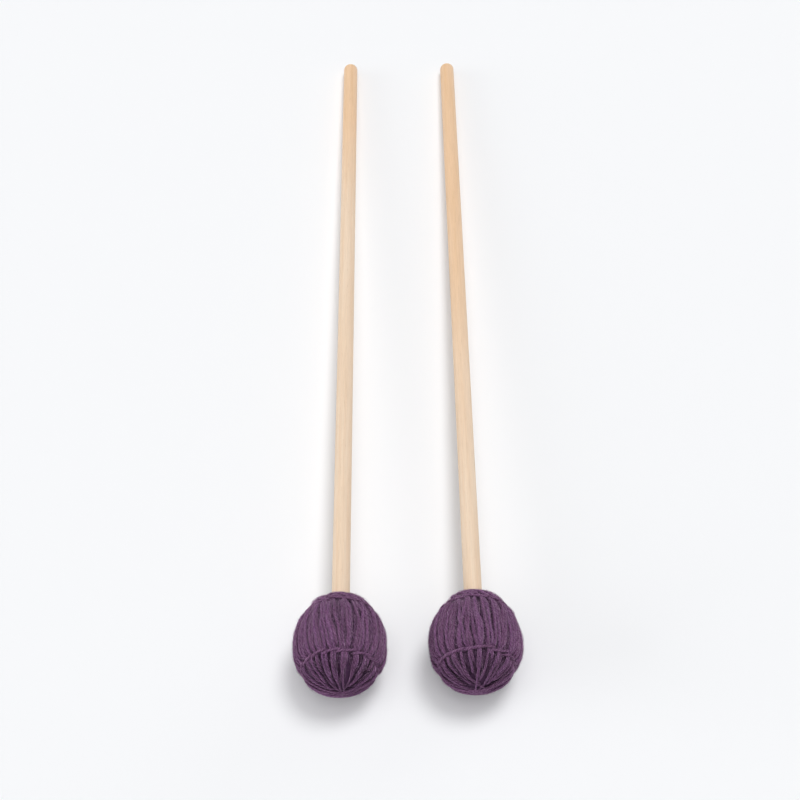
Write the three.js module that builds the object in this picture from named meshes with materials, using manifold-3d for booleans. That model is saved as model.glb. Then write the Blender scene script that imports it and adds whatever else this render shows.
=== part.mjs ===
// A pair of yarn mallets for marimba or vibraphone, lying side by side as they are put down.
// Each is a birch dowel glued into a rubber core, with deep layers of yarn over the core, one
// last layer of yarn wound from neck to tip and back, and a ring of stitches at either end.
// Millimetres. +Y runs from the heads to the butt ends, +Z is up, and the floor is z = 0.
import * as THREE from "three";
import { mergeVertices } from "three/addons/utils/BufferGeometryUtils.js";
import Module from "manifold-3d";

const wasm = await Module();
wasm.setup();

// The whole mallet.
const malletLength = 430;
const headDiameter = 40;
const headLength = 45.4;
const neckTaperShare = 0.035;
const shaftDiameter = 8;
const clearance = 0.3;

// The shaft: its butt end is rounded over, and its nose is chamfered to enter the core.
const buttRound = 2.7;
const noseChamfer = 0.8;
const seatDepth = 20;

// The layers of yarn, from the outside in.
const yarnHeight = 2;
const yarnWidth = 2.3;
const poleHeight = 1.2;
const innerYarnThickness = 3.4;
const neckLip = 0.8;

// The last layer is one strand. A loop goes up one meridian and down the next.
const loopGroups = 5;
const strandGap = 0.55;
const finestStrand = 0.85;
const crestShare = 0.72;

// The stitches press on the strands that they cross, and pull the head in.
const tipStitchAngle = THREE.MathUtils.degToRad(56);
const neckStitchAngle = THREE.MathUtils.degToRad(130);
const stitchThread = 1.4;
const stitchPull = 0.9;
const strandPress = 0.5;
const grooveReach = 2.6;
const stitchSway = 0.2;
const stitchCount = 8;

// The pair on the floor: each head is pressed flat where it rests.
const footDepth = 0.5;
const pairSpacing = 58;
const pairStagger = 1.1;

// Facets.
const shaftSides = 28;
const headSides = 32;
const coreSteps = 10;
const buttSteps = 5;
const stepsPerStitch = 3;

// What follows from the sizes above.
const headRadius = headDiameter / 2;
const headReach = headLength / 2;
const shaftRadius = shaftDiameter / 2;
const boreRadius = shaftRadius + clearance;
const coreDepth = yarnHeight + innerYarnThickness + 2 * clearance;
const cavityDepth = coreDepth - clearance;
const grooveAngle = grooveReach / headRadius;
const tipEdge = tipStitchAngle - grooveAngle;
const neckEdge = neckStitchAngle + grooveAngle;
const loops = 4 * loopGroups;
const runs = 2 * loops;
const pitch = (2 * Math.PI) / runs;
const headHeight = headRadius - footDepth;
const buttPlace = malletLength - headReach;
const touchPlace = buttPlace - buttRound;
const dip = Math.asin(headHeight / Math.hypot(touchPlace, shaftRadius))
  - Math.atan2(shaftRadius, touchPlace);

// The head is an egg round +Y, a little narrower at the neck. An angle on it runs from 0 at the
// tip to pi at the neck. This is the place in its half section, a depth below the surface.
function halfSection(angle, depth) {
  const taper = 1 + neckTaperShare * Math.cos(angle);
  const slope = Math.cos(angle) + neckTaperShare * Math.cos(2 * angle);
  const outward = new THREE.Vector2(headReach * Math.sin(angle), -headRadius * slope).normalize();
  const place = new THREE.Vector2(headRadius * Math.sin(angle) * taper, -headReach * Math.cos(angle));
  return { place: place.addScaledVector(outward, -depth), outward };
}

// A turn is an angle round the axis, from 0 underneath.
function swing(flat, turn) {
  return new THREE.Vector3(flat.x * Math.sin(turn), flat.y, -flat.x * Math.cos(turn));
}

// The angle from the nearer pole at which the bottom of the last layer has a given radius.
function poleAngle(radius) {
  return Math.asin(radius / (headRadius - yarnHeight));
}

// 1 under a stitch, falling to 0 at the edges of its groove.
function pulled(angle) {
  const off = Math.min(Math.abs(angle - tipStitchAngle), Math.abs(angle - neckStitchAngle));
  return Math.max(0, 1 - off / grooveAngle);
}

// 0 between the grooves, rising to 1 at each pole, where the strands are drawn together.
function gathered(angle) {
  return Math.max(0, 1 - angle / tipEdge, 1 - (Math.PI - angle) / (Math.PI - neckEdge));
}

// How deep the bottom of the last layer lies, and how high a strand stands on it.
function yarnFloor(angle) {
  return yarnHeight + stitchPull * pulled(angle) - (yarnHeight - poleHeight) * gathered(angle);
}

function strandHeight(angle) {
  return yarnFloor(angle) - (stitchPull + strandPress) * pulled(angle);
}

// Near the poles there is no room for every loop, so half of them turn back, and then half of
// the rest. Those that go on spread out into the room left. Each entry is an angle from the
// pole and how many pitches apart the strands are there.
function gatherPlaces() {
  const room = (finestStrand + strandGap) / pitch;
  const first = poleAngle(room);
  const second = poleAngle(room / 2);
  const third = poleAngle(room / 4);
  return [
    { angle: first, spread: 1 },
    { angle: (first + second) / 2, spread: 2 },
    { angle: second, spread: 2 },
    { angle: third, spread: 4 },
  ];
}

const tipPlaces = gatherPlaces();
const neckPlaces = [
  { angle: Math.PI - tipPlaces[0].angle, spread: 1 },
  { angle: Math.PI - poleAngle(boreRadius + yarnWidth), spread: 2 },
];

// The angles at which a strand bends between its two ends.
function middleAngles() {
  const from = tipStitchAngle + grooveAngle;
  const to = neckStitchAngle - grooveAngle;
  const middle = [from, (2 * from + to) / 3, (from + 2 * to) / 3, to];
  return [tipEdge, tipStitchAngle, ...middle, neckStitchAngle, neckEdge];
}

// How many of the places above a loop reaches at the tip, and a turn between loops at the neck.
function tipReach(loop) {
  if (loop % 2) {
    return 1;
  }
  return loop % 4 ? 3 : 4;
}

function neckReach(loop) {
  return loop % 2 ? 1 : 2;
}

function strandAt(angle, turn, spread) {
  const room = spread * pitch * halfSection(angle, yarnFloor(angle)).place.x;
  return { angle, turn, width: Math.min(yarnWidth, room - strandGap) };
}

// One run of the strand, from the tip to the neck.
function runPlaces(run) {
  const side = run % 2 ? 1 : -1;
  const tip = tipPlaces.slice(0, tipReach(Math.floor(run / 2))).reverse();
  const neck = neckPlaces.slice(0, neckReach(Math.floor((run + runs - 1) / 2) % loops));
  const aside = (spread) => (side * (spread - 1) * pitch) / 2;
  return [
    ...tip.map((p) => strandAt(p.angle, run * pitch + aside(p.spread), p.spread)),
    ...middleAngles().map((angle) => strandAt(angle, run * pitch, 1)),
    ...neck.map((p) => strandAt(p.angle, run * pitch - aside(p.spread), p.spread)),
  ];
}

// The bend between two runs, one half of their distance past their ends.
function bendPlace(last, next, way) {
  const turn = (last.turn + next.turn) / 2;
  const apart = (next.turn - last.turn) * halfSection(last.angle, yarnFloor(last.angle)).place.x;
  const angle = last.angle + (way * apart) / 2 / headRadius;
  return { angle, turn, width: last.width };
}

// The whole strand: up to the tip on even runs, down to the neck on odd ones.
function strandPath() {
  const path = [];
  for (let run = 0; run < runs; run += 1) {
    const places = runPlaces(run);
    if (run % 2 === 0) {
      places.reverse();
    }
    if (run > 0) {
      path.push(bendPlace(path[path.length - 1], places[0], run % 2 ? -1 : 1));
    }
    path.push(...places);
  }
  return path.map((p) => {
    const section = halfSection(p.angle, yarnFloor(p.angle));
    return {
      place: swing(section.place, p.turn),
      outward: swing(section.outward, p.turn),
      width: p.width,
      height: strandHeight(p.angle),
    };
  });
}

// The direction of a path at one of its places, and square to it across the surface.
function acrossPath(path, i) {
  const before = path[Math.max(0, i - 1)].place;
  const after = path[Math.min(path.length - 1, i + 1)].place;
  const ahead = after.clone().sub(before);
  return ahead.cross(path[i].outward).normalize();
}

// A strand lies flat on what is under it, and is narrower at its crest.
function strandSection(path, i) {
  const { place, outward, width, height } = path[i];
  const across = acrossPath(path, i);
  const foot = width / 2;
  const crest = foot * crestShare;
  return [
    place.clone().addScaledVector(across, -foot),
    place.clone().addScaledVector(across, foot),
    place.clone().addScaledVector(outward, height).addScaledVector(across, crest),
    place.clone().addScaledVector(outward, height).addScaledVector(across, -crest),
  ];
}

// A thread stands on an edge, so that it sits in its groove.
function threadSection(path, i) {
  const { place, outward, width, height } = path[i];
  const across = acrossPath(path, i);
  const middle = place.clone().addScaledVector(outward, height / 2);
  return [
    place.clone(),
    middle.clone().addScaledVector(across, width / 2),
    place.clone().addScaledVector(outward, height),
    middle.clone().addScaledVector(across, -width / 2),
  ];
}

// Faces join the sections to a closed body, with an end face at both ends.
function tubeThrough(sections) {
  const sides = sections[0].length;
  const faces = [];
  for (let i = 0; i + 1 < sections.length; i += 1) {
    for (let s = 0; s < sides; s += 1) {
      const a = i * sides + s;
      const b = i * sides + ((s + 1) % sides);
      faces.push(a, a + sides, b + sides, a, b + sides, b);
    }
  }
  const end = (sections.length - 1) * sides;
  for (let s = 1; s + 1 < sides; s += 1) {
    faces.push(0, s, s + 1, end, end + s + 1, end + s);
  }
  const geometry = new THREE.BufferGeometry().setFromPoints(sections.flat());
  geometry.setIndex(faces);
  return facingOut(geometry);
}

function signedVolume(geometry) {
  const place = geometry.getAttribute("position");
  const [a, b, c] = [new THREE.Vector3(), new THREE.Vector3(), new THREE.Vector3()];
  let sum = 0;
  for (let i = 0; i < geometry.index.count; i += 3) {
    a.fromBufferAttribute(place, geometry.index.getX(i));
    b.fromBufferAttribute(place, geometry.index.getX(i + 1));
    c.fromBufferAttribute(place, geometry.index.getX(i + 2));
    sum += a.dot(b.cross(c)) / 6;
  }
  return sum;
}

function facingOut(geometry) {
  if (signedVolume(geometry) < 0) {
    geometry.index.array.reverse();
  }
  return geometry;
}

// A profile turned round the axis, with the faces that shrink to nothing on the axis left out.
function turned(profile, sides) {
  const lathe = new THREE.LatheGeometry(profile, sides);
  lathe.deleteAttribute("normal");
  lathe.deleteAttribute("uv");
  const merged = mergeVertices(lathe);
  const corners = merged.index.array;
  const faces = [];
  for (let i = 0; i < corners.length; i += 3) {
    const [a, b, c] = corners.slice(i, i + 3);
    if (a !== b && b !== c && c !== a) {
      faces.push(a, b, c);
    }
  }
  merged.setIndex(faces);
  return facingOut(merged);
}

function toManifold(geometry) {
  return new wasm.Manifold(new wasm.Mesh({
    numProp: 3,
    vertProperties: new Float32Array(geometry.getAttribute("position").array),
    triVerts: new Uint32Array(geometry.index.array),
  }));
}

function fromManifold(solid) {
  const mesh = solid.getMesh();
  const geometry = new THREE.BufferGeometry();
  geometry.setAttribute("position", new THREE.BufferAttribute(mesh.vertProperties, mesh.numProp));
  geometry.setIndex(new THREE.BufferAttribute(mesh.triVerts, 1));
  return geometry;
}

// The least gap of the strand to itself, on points along it. Points that follow each other
// within a few widths belong to one bend and are left out.
function leastGap(path) {
  const points = [];
  let run = 0;
  for (let i = 0; i + 1 < path.length; i += 1) {
    const [from, to] = [path[i], path[i + 1]];
    const length = from.place.distanceTo(to.place);
    const count = Math.ceil(length / (finestStrand / 2));
    for (let n = 0; n < count; n += 1) {
      const share = n / count;
      points.push({
        place: from.place.clone().lerp(to.place, share),
        width: THREE.MathUtils.lerp(from.width, to.width, share),
        run: run + length * share,
      });
    }
    run += length;
  }
  let least = Infinity;
  for (let i = 0; i < points.length; i += 1) {
    for (let j = i + 1; j < points.length; j += 1) {
      const [p, q] = [points[i], points[j]];
      const wide = (p.width + q.width) / 2;
      if (q.run - p.run > 3 * wide) {
        least = Math.min(least, p.place.distanceTo(q.place) - wide);
      }
    }
  }
  return least;
}

// The dowel, from its chamfered nose in the core to its rounded butt end.
function shaftShape(nosePlace) {
  const profile = [
    new THREE.Vector2(0, nosePlace),
    new THREE.Vector2(shaftRadius - noseChamfer, nosePlace),
    new THREE.Vector2(shaftRadius, nosePlace + noseChamfer),
  ];
  for (let i = 0; i <= buttSteps; i += 1) {
    const bend = (i / buttSteps) * (Math.PI / 2);
    profile.push(new THREE.Vector2(
      shaftRadius - buttRound * (1 - Math.cos(bend)),
      touchPlace + buttRound * Math.sin(bend),
    ));
  }
  profile.push(new THREE.Vector2(0, buttPlace));
  return turned(profile, shaftSides);
}

// An egg a depth below the surface, from the tip to a mouth as wide as the bore.
function eggProfile(depth) {
  const mouth = Math.PI - Math.asin(boreRadius / (headRadius - depth));
  const profile = [];
  for (let i = 0; i <= coreSteps; i += 1) {
    profile.push(halfSection((i / coreSteps) * mouth, depth).place);
  }
  profile[0].x = 0;
  profile[coreSteps].x = boreRadius;
  return profile;
}

// The rubber core, with the blind bore that the shaft is glued into.
const coreProfile = eggProfile(coreDepth);
const boreEnd = coreProfile[coreSteps].y - seatDepth;

function coreShape() {
  const bore = [new THREE.Vector2(boreRadius, boreEnd), new THREE.Vector2(0, boreEnd)];
  return turned([...coreProfile, ...bore], headSides);
}

// The deep layers fill the room between the core and the last layer.
function innerYarnShape() {
  const lip = Math.PI - poleAngle(boreRadius + neckLip);
  const angles = [
    0,
    ...tipPlaces.map((p) => p.angle).reverse(),
    ...middleAngles(),
    ...neckPlaces.map((p) => p.angle),
    lip,
  ];
  const outside = angles.map((angle) => halfSection(angle, yarnFloor(angle) + clearance).place);
  outside[0].x = 0;
  const mouth = new THREE.Vector2(boreRadius, outside[outside.length - 1].y);
  const inside = eggProfile(cavityDepth).reverse();
  return turned([...outside, mouth, ...inside], headSides);
}

// The last layer, cut flat where the head rests on the floor.
function outerYarnShape() {
  const path = strandPath();
  const strand = toManifold(tubeThrough(path.map((p, i) => strandSection(path, i))));
  const block = new THREE.BoxGeometry(headDiameter, headLength, headDiameter);
  block.translate(0, 0, -headHeight - headRadius);
  block.rotateX(dip);
  block.deleteAttribute("normal");
  block.deleteAttribute("uv");
  return fromManifold(strand.subtract(toManifold(mergeVertices(block))));
}

// One thread round the head, whose two ends stop just short of each other. It sways a little
// to either side, a stitch at a time.
function stitchShape(angle) {
  const sunk = stitchPull + strandPress - clearance;
  const radius = halfSection(angle, sunk).place.x;
  const open = (stitchThread + strandGap) / 2 / radius;
  const steps = stitchCount * stepsPerStitch;
  const path = [];
  for (let i = 0; i <= steps; i += 1) {
    const turn = open + (i / steps) * 2 * (Math.PI - open);
    const sway = (stitchSway / headRadius) * Math.sin(stitchCount * turn);
    const section = halfSection(angle + sway, sunk);
    path.push({
      place: swing(section.place, turn),
      outward: swing(section.outward, turn),
      width: stitchThread,
      height: stitchThread,
    });
  }
  return tubeThrough(path.map((p, i) => threadSection(path, i)));
}

const birch = { color: 0xe8c8a0, roughness: 0.55, metalness: 0 };
const rubber = { color: 0x3a3838, roughness: 0.8, metalness: 0 };
const innerYarn = { color: 0x553655, roughness: 0.95, metalness: 0 };
const outerYarn = { color: 0x6e4b6e, roughness: 0.95, metalness: 0 };
const stitching = { color: 0x7a547a, roughness: 0.95, metalness: 0 };

// One mallet round its head's centre, tilted so that its butt end touches the floor.
function mallet(side) {
  const group = new THREE.Group();
  const add = (name, geometry, look) => {
    const mesh = new THREE.Mesh(geometry, new THREE.MeshStandardMaterial(look));
    mesh.name = `${side}_${name}`;
    group.add(mesh);
  };
  add("shaft", shaftShape(boreEnd + clearance), birch);
  add("core", coreShape(), rubber);
  add("inner_yarn", innerYarnShape(), innerYarn);
  add("outer_yarn", outerYarnShape(), outerYarn);
  add("tip_stitch", stitchShape(tipStitchAngle), stitching);
  add("neck_stitch", stitchShape(neckStitchAngle), stitching);
  group.rotation.x = -dip;
  group.position.z = headHeight;
  return group;
}

console.log(`least gap of the outer yarn to itself: ${leastGap(strandPath()).toFixed(2)} mm`);

const left = mallet("left");
left.position.x = -pairSpacing / 2;
const right = mallet("right");
right.position.x = pairSpacing / 2;
right.position.y = pairStagger;

// The origin is under the middle of the pair.
const pair = new THREE.Group();
pair.add(left, right);
pair.updateMatrixWorld(true);
const box = new THREE.Box3().setFromObject(pair, true);
const middle = box.getCenter(new THREE.Vector3());
pair.position.set(-middle.x, -middle.y, -box.min.z);

export default pair;
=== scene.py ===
# %% [markdown]
# A pair of yarn mallets, ready to look at.
# Each mallet is a birch stick with a head of wound yarn. The frame already holds every piece at its
# real size, in metres, with the heads towards -Y, the butt ends towards +Y and the floor at z = 0.
# What is left to do here is the look of each piece: the wood, the strands and the stitches.

# %% Load the frame
import math

import bpy
import numpy as np
from mathutils import Matrix, Vector


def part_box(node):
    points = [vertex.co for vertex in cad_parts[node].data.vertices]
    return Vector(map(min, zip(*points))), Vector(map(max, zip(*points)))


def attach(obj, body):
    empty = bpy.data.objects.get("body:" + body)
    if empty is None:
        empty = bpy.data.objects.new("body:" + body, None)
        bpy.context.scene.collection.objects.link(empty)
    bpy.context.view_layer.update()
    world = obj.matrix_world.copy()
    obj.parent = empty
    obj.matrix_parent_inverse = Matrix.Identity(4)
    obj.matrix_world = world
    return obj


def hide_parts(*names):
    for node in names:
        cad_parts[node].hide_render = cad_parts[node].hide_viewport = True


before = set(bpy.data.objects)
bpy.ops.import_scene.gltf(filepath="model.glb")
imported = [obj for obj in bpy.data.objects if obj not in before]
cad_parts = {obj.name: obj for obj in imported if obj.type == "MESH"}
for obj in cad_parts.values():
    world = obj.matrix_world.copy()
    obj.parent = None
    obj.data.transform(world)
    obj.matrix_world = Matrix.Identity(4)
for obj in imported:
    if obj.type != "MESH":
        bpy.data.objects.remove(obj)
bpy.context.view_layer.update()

# %% [markdown]
# The camera comes first, because every later choice is judged through it.
# The photograph looks down on the heads at about 51 degrees, from a little more than half a metre
# above the table, with a short telephoto lens. Matching the outlines of both heads and both sticks
# gave these values. The camera is also turned a degree or so to its right, and rolled as much.

# %% Camera
LENS_MM = 68.5
SENSOR_MM = 36.0
CAMERA_PLACE = Vector((-0.0134, -0.5231, 0.5898))
CAMERA_DOWN = math.radians(50.77)
CAMERA_TURN = math.radians(1.40)
CAMERA_ROLL = math.radians(1.11)

ahead = Vector((
    math.sin(CAMERA_TURN) * math.cos(CAMERA_DOWN),
    math.cos(CAMERA_TURN) * math.cos(CAMERA_DOWN),
    -math.sin(CAMERA_DOWN),
))
level_right = Vector((math.cos(CAMERA_TURN), -math.sin(CAMERA_TURN), 0))
level_up = level_right.cross(ahead)
right = level_right * math.cos(CAMERA_ROLL) + level_up * math.sin(CAMERA_ROLL)
up = level_up * math.cos(CAMERA_ROLL) - level_right * math.sin(CAMERA_ROLL)

camera_data = bpy.data.cameras.new("camera")
camera_data.lens = LENS_MM
camera_data.sensor_width = SENSOR_MM
camera_data.clip_start = 0.01
camera = bpy.data.objects.new("camera", camera_data)
camera.matrix_world = (Matrix.Translation(CAMERA_PLACE)
                       @ Matrix((right, up, -ahead)).transposed().to_4x4())
bpy.context.scene.collection.objects.link(camera)
bpy.context.scene.camera = camera
print("camera looks along", [round(v, 3) for v in ahead])

# %% [markdown]
# Lights and materials are both graphs of nodes. Two small helpers keep them short to write. An input
# is named, and given either a value or the output of another node.


# %% Helpers for node graphs
def fill_inputs(tree, node, inputs):
    """Gives each named input its value, or links it to another node's output."""
    for name, value in inputs.items():
        if isinstance(value, bpy.types.NodeSocket):
            tree.links.new(value, node.inputs[name])
        else:
            node.inputs[name].default_value = value


def add_node(tree, kind, inputs=None, **settings):
    node = tree.nodes.new("ShaderNode" + kind)
    for name, value in settings.items():
        setattr(node, name, value)
    fill_inputs(tree, node, inputs or {})
    return node


def srgb(red, green, blue):
    """A colour given as 0 to 255 on the screen, as a shader wants it."""
    def linear(value):
        value /= 255
        return value / 12.92 if value <= 0.04045 else ((value + 0.055) / 1.055) ** 2.4
    return (linear(red), linear(green), linear(blue), 1)


print("mid grey in a shader is", round(srgb(128, 128, 128)[0], 3))

# %% [markdown]
# The light is that of a product photograph: several large soft lamps in a dim studio. A sun lamp with
# a wide angle stands for a softbox far away. The narrower one beyond the mallets, on the right, casts
# the shadows that show. The broad ones above and in front keep them pale, and the low ones light the
# sides of the heads and sticks, most of all from the left. Together they light a white floor to just
# one, so a colour renders as it is written. The camera never sees the dim room itself: it sees the
# colour of the floor all round, and so do glossy surfaces.

# %% Lamps and room
BACKGROUND = srgb(248, 249, 251)
LAMPS = (
    # name, degrees clockwise from +Y, degrees high, degrees wide, strength
    ("key", 45, 71, 24, 1.22),
    ("overhead", 0, 90, 50, 0.88),
    ("front", 180, 58, 44, 0.33),
    ("front_left", 225, 30, 44, 0.22),
    ("low_left", 262, 9, 44, 1.2),
    ("low_back", 45, 8, 44, 0.4),
)
LAMP_LEVEL = 0.989
ROOM_LIGHT = 0.15


def add_lamp(name, azimuth, height, width, strength):
    azimuth, height = math.radians(azimuth), math.radians(height)
    towards = Vector((math.sin(azimuth) * math.cos(height), math.cos(azimuth) * math.cos(height),
                      math.sin(height)))
    data = bpy.data.lights.new(name, "SUN")
    data.energy = strength * LAMP_LEVEL
    data.angle = math.radians(width)
    lamp = bpy.data.objects.new(name, data)
    lamp.rotation_euler = towards.to_track_quat("Z", "Y").to_euler()
    bpy.context.scene.collection.objects.link(lamp)


for lamp in LAMPS:
    add_lamp(*lamp)

world = bpy.data.worlds.new("studio")
world.use_nodes = True
bpy.context.scene.world = world
tree = world.node_tree
tree.nodes.clear()
room = add_node(tree, "Background", {"Color": (1, 1, 1, 1), "Strength": ROOM_LIGHT})
seen = add_node(tree, "Background", {"Color": BACKGROUND})
rays = add_node(tree, "LightPath")
plain = add_node(tree, "Math", {
    0: rays.outputs["Is Camera Ray"], 1: rays.outputs["Is Transmission Ray"]}, operation="MAXIMUM")
plain = add_node(tree, "Math", {
    0: plain.outputs[0], 1: rays.outputs["Is Glossy Ray"]}, operation="MAXIMUM")
choose = add_node(tree, "MixShader", {0: plain.outputs[0], 1: room.outputs[0], 2: seen.outputs[0]})
add_node(tree, "OutputWorld", {"Surface": choose.outputs[0]})
bpy.context.scene.view_settings.view_transform = "Standard"
print("lamps", [lamp[0] for lamp in LAMPS])

# %% [markdown]
# The floor is a plain matt white. To the camera it shows a small share of its own colour whatever the
# light, as in a photograph whose background was brightened, so that the shadows stay soft and pale.

# %% Floor
FLOOR_SIZE = 12.0
OWN_WHITE = 0.16

bpy.ops.object.select_all(action="DESELECT")
bpy.ops.mesh.primitive_plane_add(size=FLOOR_SIZE, location=(0, 0, 0))
floor = bpy.context.object
floor.name = "floor"
floor_paint = bpy.data.materials.new("white_table")
floor_paint.use_nodes = True
fill_inputs(floor_paint.node_tree, floor_paint.node_tree.nodes["Principled BSDF"], {
    "Base Color": BACKGROUND, "Roughness": 1.0, "Specular IOR Level": 0.0})
tree = floor_paint.node_tree
share = add_node(tree, "Math", {
    0: add_node(tree, "LightPath").outputs["Is Camera Ray"], 1: OWN_WHITE}, operation="MULTIPLY")
lit = tree.nodes["Principled BSDF"].outputs[0]
own_white = add_node(tree, "Emission", {"Color": BACKGROUND})
mixed = add_node(tree, "MixShader", {0: share.outputs[0], 1: lit, 2: own_white.outputs[0]})
tree.links.new(mixed.outputs[0], tree.nodes["Material Output"].inputs["Surface"])
floor.data.materials.append(floor_paint)
print("floor", FLOOR_SIZE, "m wide")

# %% [markdown]
# Both mallets are the same, so one set of sizes serves for both, and a small frame says where each
# one lies. Its origin is the middle of the head. Its second axis runs along the stick to the butt
# end, and points a little downwards, because the head is thicker than the stick. From here on,
# lengths are in millimetres and angles in radians.

# %% Sizes and places
MM = 0.001
HEAD_RADIUS = 20.0
HEAD_REACH = 22.7
NECK_TAPER = 0.035
SHAFT_RADIUS = 4.0
BUTT_ROUND = 2.7
LENGTH = 430.0
FOOT_DEPTH = 0.5

butt_place = LENGTH - HEAD_REACH
head_height = HEAD_RADIUS - FOOT_DEPTH
touch_place = butt_place - BUTT_ROUND
dip = (math.asin(head_height / math.hypot(touch_place, SHAFT_RADIUS))
       - math.atan2(SHAFT_RADIUS, touch_place))


def mallet_frame(side):
    """The matrix from a mallet's own millimetres to the frame's metres."""
    low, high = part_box(f"{side}_shaft")
    end_reach = butt_place * math.cos(dip) + (SHAFT_RADIUS - BUTT_ROUND) * math.sin(dip)
    middle = Vector(((low.x + high.x) / 2, high.y - end_reach * MM, head_height * MM))
    return Matrix.Translation(middle) @ Matrix.Rotation(-dip, 4, "X") @ Matrix.Scale(MM, 4)


SIDES = ("left", "right")
frames = {side: mallet_frame(side) for side in SIDES}


def in_frame(points, side):
    """Points in a mallet's own millimetres, given in the frame's metres."""
    matrix = np.array(frames[side])
    return points @ matrix[:3, :3].T + matrix[:3, 3]


for side in SIDES:
    print(side, "head at", [round(v, 4) for v in frames[side].translation])

# %% [markdown]
# The head is egg-shaped, and its yarn runs over it from neck to tip. A place on the egg is an angle
# from the tip, a turn round the stick and a depth below the surface. Two rings of stitches pull the
# yarn in, so the surface has two grooves, with a slight swell beside each. Where the yarn turns round
# the stick, it lies in a thick collar.

# %% The egg
TIP_RING = math.radians(56)
NECK_RING = math.radians(128)
GROOVE_WIDTH = 0.085
TIP_GROOVE = 1.15
NECK_GROOVE = 0.6
SWELL = 0.2
SWELL_REACH = 0.24
SWELL_WIDTH = 0.12
COLLAR = 0.75
COLLAR_ANGLE = math.radians(149)
COLLAR_WIDTH = 0.24


def hump(angle, middle, width):
    """One at the middle, and less and less on both sides."""
    return np.exp(-(((angle - middle) / width) ** 2))


def eased(x):
    """From 0 to 1, with a soft start and a soft end."""
    x = np.clip(x, 0, 1)
    return x * x * (3 - 2 * x)


def groove(angle):
    """How far the stitches pull the surface in, less the swell beside them and the thick collar."""
    pull = TIP_GROOVE * hump(angle, TIP_RING, GROOVE_WIDTH)
    pull = pull + NECK_GROOVE * hump(angle, NECK_RING, GROOVE_WIDTH)
    for ring in (TIP_RING, NECK_RING):
        for side in (-1, 1):
            pull = pull - SWELL * hump(angle, ring + side * SWELL_REACH, SWELL_WIDTH)
    return pull - COLLAR * hump(angle, COLLAR_ANGLE, COLLAR_WIDTH)


def girth(angle):
    """The radius of the egg round the stick's axis."""
    return HEAD_RADIUS * np.sin(angle) * (1 + NECK_TAPER * np.cos(angle))


def egg(angle, turn, depth):
    """Places and outward directions on the egg, in the mallet's own millimetres."""
    out_r = HEAD_REACH * np.sin(angle)
    out_y = -HEAD_RADIUS * (np.cos(angle) + NECK_TAPER * np.cos(2 * angle))
    size = np.hypot(out_r, out_y)
    out_r, out_y, turn = np.broadcast_arrays(out_r / size, out_y / size, turn)
    radius = girth(angle) - depth * out_r
    along = -HEAD_REACH * np.cos(angle) - depth * out_y
    place = np.stack([radius * np.sin(turn), along, -radius * np.cos(turn)], -1)
    outward = np.stack([out_r * np.sin(turn), out_y, -out_r * np.cos(turn)], -1)
    return place, outward


print("girth at the tip ring", round(2 * math.pi * float(girth(TIP_RING)), 1), "mm")

# %% [markdown]
# Yarn seldom meets right on the axis of the stick. So points near the tip are moved sideways, further
# on one head than on the other, and they slide along the round end of the egg as they go.

# %% A tip beside the axis
POLE_SHIFT = {"left": 1.4, "right": 0.9}
POLE_WIDTH = 9.0
DOME_RADIUS = HEAD_RADIUS + 1
DOME_LEAST = 0.05


def dome(out):
    """How far the end of the egg reaches, at a distance from the axis."""
    return HEAD_REACH * np.sqrt(np.maximum(1 - (out / DOME_RADIUS) ** 2, DOME_LEAST))


def off_centre(points, shift):
    out = np.hypot(points[:, 0], points[:, 2])
    share = np.where(points[:, 1] < 0, np.exp(-((out / POLE_WIDTH) ** 2)), 0)
    moved = points.copy()
    moved[:, 0] += shift * share
    moved[:, 1] += dome(out) - dome(np.hypot(moved[:, 0], moved[:, 2]))
    return moved


print("the tips are beside the axis by", POLE_SHIFT, "mm")

# %% [markdown]
# A strand of yarn is three plies twisted together. As a mesh it is a tube whose section has three
# lobes, and the section turns as it goes along, so that the valleys between the plies follow the
# edges of the mesh. A curve with a bevel object keeps no colour of its own for each strand, so the
# tubes are written straight into one mesh. Each point also stores its place in the ply, which the
# material needs for its fibres, a tone that is the same all along one strand, and how far it has sunk
# below the top of the winding, with more added in the valleys between the plies. The material paints
# shade by that depth.

# %% Tubes of yarn
PLIES = 3
PLY_TURN = 5.2
VALLEY = 0.38
SOFT_STEP = 0.42
# Painted shade: extra depth stored in the valleys between the plies, which the material darkens.
PLY_SHADE = 1.8
FLOOR_GAP = 0.03 * MM


def run_along(place):
    """How far along a line each of its points lies."""
    return np.concatenate([[0], np.cumsum(np.linalg.norm(np.diff(place, axis=0), axis=1))])


def unit(vectors):
    return vectors / np.linalg.norm(vectors, axis=1)[:, None]


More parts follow.
